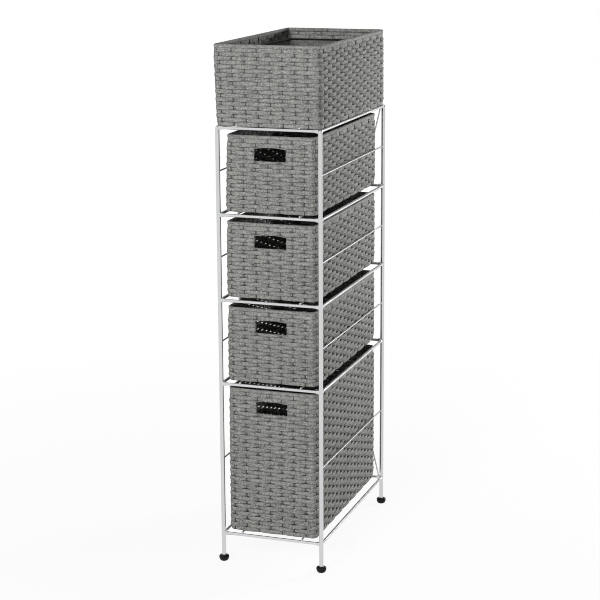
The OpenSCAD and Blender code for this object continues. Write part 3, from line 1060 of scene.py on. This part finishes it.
class TOWER_OT_hand_holes(TowerStep, bpy.types.Operator):
    """Binds the hand-holes of the pull-out baskets."""
    bl_idname = "tower.hand_holes"
    bl_label = "Hand-hole bindings"

    def execute(self, context):
        for name in PULL_OUTS:
            basket = Basket(name)
            outline, length = hand_hole_outline(basket, BINDING_GAP)
            band = loop_band(outline, length, TIE_STEP, **BINDING)
            x, z, y = points(band).T
            set_points(band, np.column_stack([x, basket.front + WALL / 2 + y, z]))
            basket.settle(face_out(band), context.scene.tower_slack)
            hand_over(band, name + "_binding", name, "weave_grey", "paper_rope", name + "_grip")
        return {"FINISHED"}


class TOWER_OT_liner(TowerStep, bpy.types.Operator):
    """Hangs the soft liner in the top basket, with a near-black band round its top as a painted shadow line under the
    woven border.
    """
    bl_idname = "tower.liner"
    bl_label = "Liner"

    def execute(self, context):
        slack = context.scene.tower_slack
        basket = Basket("top_basket")
        low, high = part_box("top_basket_liner")
        width, depth, height = high.x - low.x, high.y - low.y, high.z - low.z
        liner = liner_box(low, high)
        ripple_liner(liner, low, high, slack.ripple)
        modify(liner, "SOLIDIFY", thickness=LINER_THICKNESS, offset=0)
        basket.settle(liner, slack)
        hand_over(liner, "top_basket_lining", "top_basket", "liner_felt", "soft_felt", "top_basket_liner")
        path, length = round_path(width - 2 * LINER_THICKNESS, depth - 2 * LINER_THICKNESS, SHADOW_LINE_CORNER,
                                  (low.y + high.y) / 2)
        # Painted shadow: a near-black band along the liner's top edge.
        shadow_line = lift(loop_band(path, length, TIE_STEP, **SHADOW_LINE), high.z - SHADOW_LINE["section"][1] / 2)
        basket.settle(shadow_line, slack)
        hand_over(shadow_line, "top_basket_shadow_line", "top_basket", "liner_felt", "shadow_line_felt")
        return {"FINISHED"}


FLOOR_SIZE = 30                         # metres
LAMPS = {                               # place and width of each lamp, and whether metal reflects it
    "key_light": ((-0.3, -3.3, 2.1), 0.9, False),
    "side_light": ((1.6, 1.9, 1.1), 0.35, True),
}
LAMPS_AIM = Vector((0, 0, 0.5))
PICTURE_WIDTH = 36                      # millimetres
FAR_END = 100                           # metres
PIXEL_FILTER = 0.9                      # pixels


class TOWER_OT_stage(TowerStep, bpy.types.Operator):
    """Sets up the floor, the lights and the camera."""
    bl_idname = "tower.stage"
    bl_label = "Stage"

    def execute(self, context):
        stage = context.scene.tower_stage
        self.floor()
        self.lights({"key_light": stage.key, "side_light": stage.side})
        self.world(stage.sky)
        self.camera(stage)
        context.scene.view_settings.view_transform = "Standard"
        context.scene.cycles.filter_width = PIXEL_FILTER
        return {"FINISHED"}

    def floor(self):
        clear_pick()
        bpy.ops.mesh.primitive_plane_add(size=FLOOR_SIZE, location=(0, 0, 0))
        floor = bpy.context.object
        floor.name = "studio_floor"
        floor.data.materials.append(studio_white())

    def lights(self, powers):
        for name, (place, size, reflected) in LAMPS.items():
            bpy.ops.object.light_add(type="AREA", location=place)
            lamp = bpy.context.object
            lamp.name = name
            lamp.data.size = size
            lamp.data.energy = powers[name]
            lamp.visible_glossy = reflected
            lamp.rotation_euler = (LAMPS_AIM - Vector(place)).to_track_quat("-Z", "Y").to_euler()

    def world(self, sky):
        """A faint even light, and white to the eye; metal sees it darker towards the right and the back."""
        world = bpy.data.worlds.new("studio")
        bpy.context.scene.world = world
        world.use_nodes = True
        nodes = Nodes(world.node_tree)
        tilt, contrast, start, darkest = 0.7, 1.2, 0.2, 0.75
        camera, glossy, through = nodes.rays()
        right = nodes.node("ShaderNodeSeparateXYZ", Vector=nodes.node("ShaderNodeTexCoord"))
        back = right.output(1)
        dim = ((right * tilt + back * tilt) * contrast + start).clamped()
        white = (camera + through + glossy * (1 - darkest * dim)).clamped()
        light = nodes.node("ShaderNodeBackground", Color=(1, 1, 1, 1), Strength=sky + (1 - sky) * white)
        nodes.node("ShaderNodeOutputWorld", Surface=light)

    def camera(self, stage):
        bpy.ops.object.camera_add()
        camera = bpy.context.object
        camera.data.sensor_fit = "HORIZONTAL"
        camera.data.sensor_width = PICTURE_WIDTH
        camera.data.lens = stage.lens
        camera.data.clip_end = FAR_END
        camera.matrix_world = Matrix.Translation(stage.camera_place) @ Matrix.Rotation(stage.azimuth, 4, "Z") \
            @ Matrix.Rotation(QUARTER - stage.elevation, 4, "X") @ Matrix.Rotation(stage.roll, 4, "Z")
        bpy.context.scene.camera = camera


class TOWER_PT_panel(bpy.types.Panel):
    """The tower's steps, in their order."""
    bl_idname = "TOWER_PT_panel"
    bl_label = "Storage tower"
    bl_space_type = "VIEW_3D"
    bl_region_type = "UI"
    bl_category = "Tower"

    def draw(self, context):
        column = self.layout.column()
        for step in STEPS:
            column.operator(step.bl_idname)


STEPS = (TOWER_OT_finishes, TOWER_OT_rods, TOWER_OT_feet, TOWER_OT_walls, TOWER_OT_floors, TOWER_OT_rims,
         TOWER_OT_hand_holes, TOWER_OT_liner, TOWER_OT_stage)
GROUPS = {"tower_weave": TowerWeave, "tower_slack": TowerSlack, "tower_colours": TowerColours,
          "tower_stage": TowerStage}
CLASSES = (*GROUPS.values(), *STEPS, TOWER_PT_panel)


def register():
    for piece in CLASSES:
        bpy.utils.register_class(piece)
    for name, group in GROUPS.items():
        setattr(bpy.types.Scene, name, bpy.props.PointerProperty(type=group))


def unregister():
    for name in GROUPS:
        delattr(bpy.types.Scene, name)
    for piece in reversed(CLASSES):
        bpy.utils.unregister_class(piece)


def main():
    register()
    for step in STEPS:
        family, action = step.bl_idname.split(".")
        getattr(getattr(bpy.ops, family), action)()


if __name__ == "__main__":
    main()
